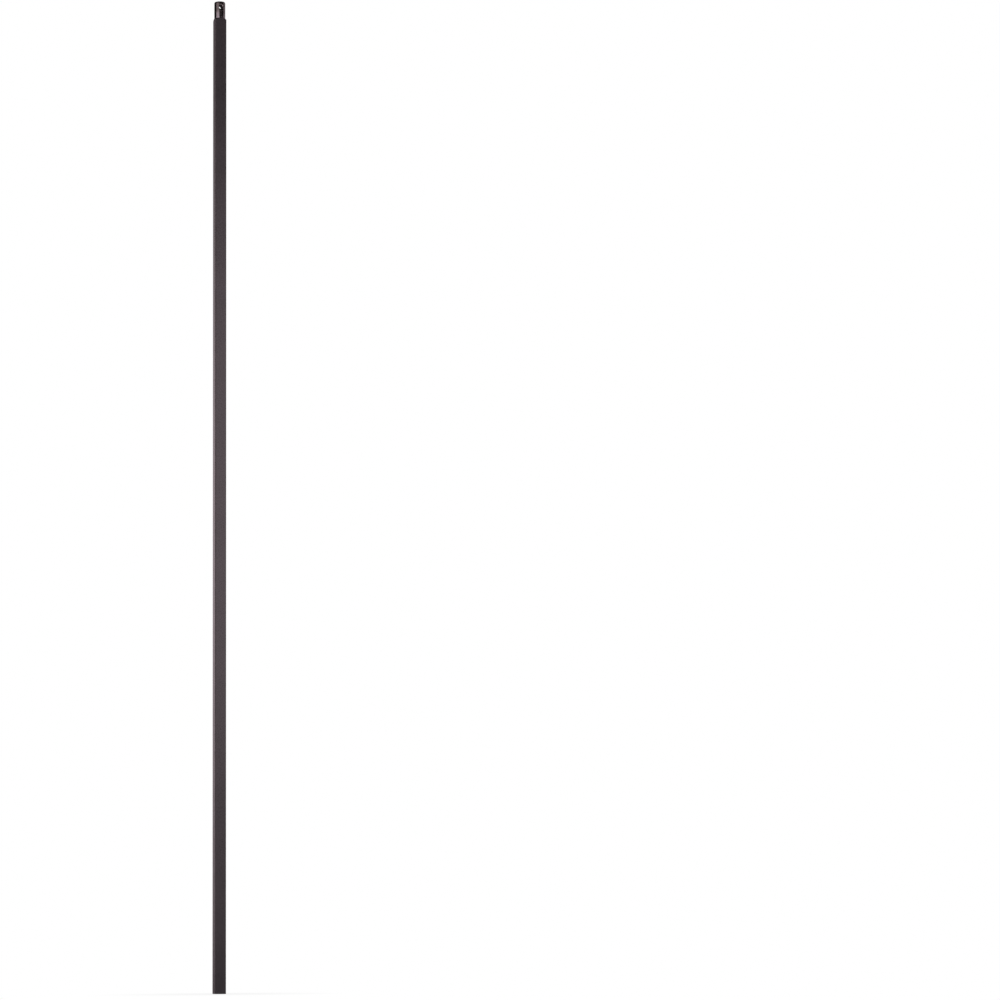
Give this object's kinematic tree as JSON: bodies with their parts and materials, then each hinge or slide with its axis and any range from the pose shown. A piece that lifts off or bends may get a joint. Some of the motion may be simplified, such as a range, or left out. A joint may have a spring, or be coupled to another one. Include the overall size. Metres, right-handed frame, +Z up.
{
  "type": "iron stair baluster",
  "caption": "Straight square iron baluster with a turned round pin at the top for the handrail and a sawn foot for the tread.",
  "frame": {"origin": "centre of the sawn foot", "axes": "+Z up the bar to the pin, +X and +Y square to the flats, with the cross hole along Y and the front facing -Y"},
  "size_m": [0.0126, 0.0126, 1.1176],
  "materials": {
    "satin_black_iron": "satin"
  },
  "bodies": {
    "root": {"baluster": "satin_black_iron"}
  },
  "joints": []
}
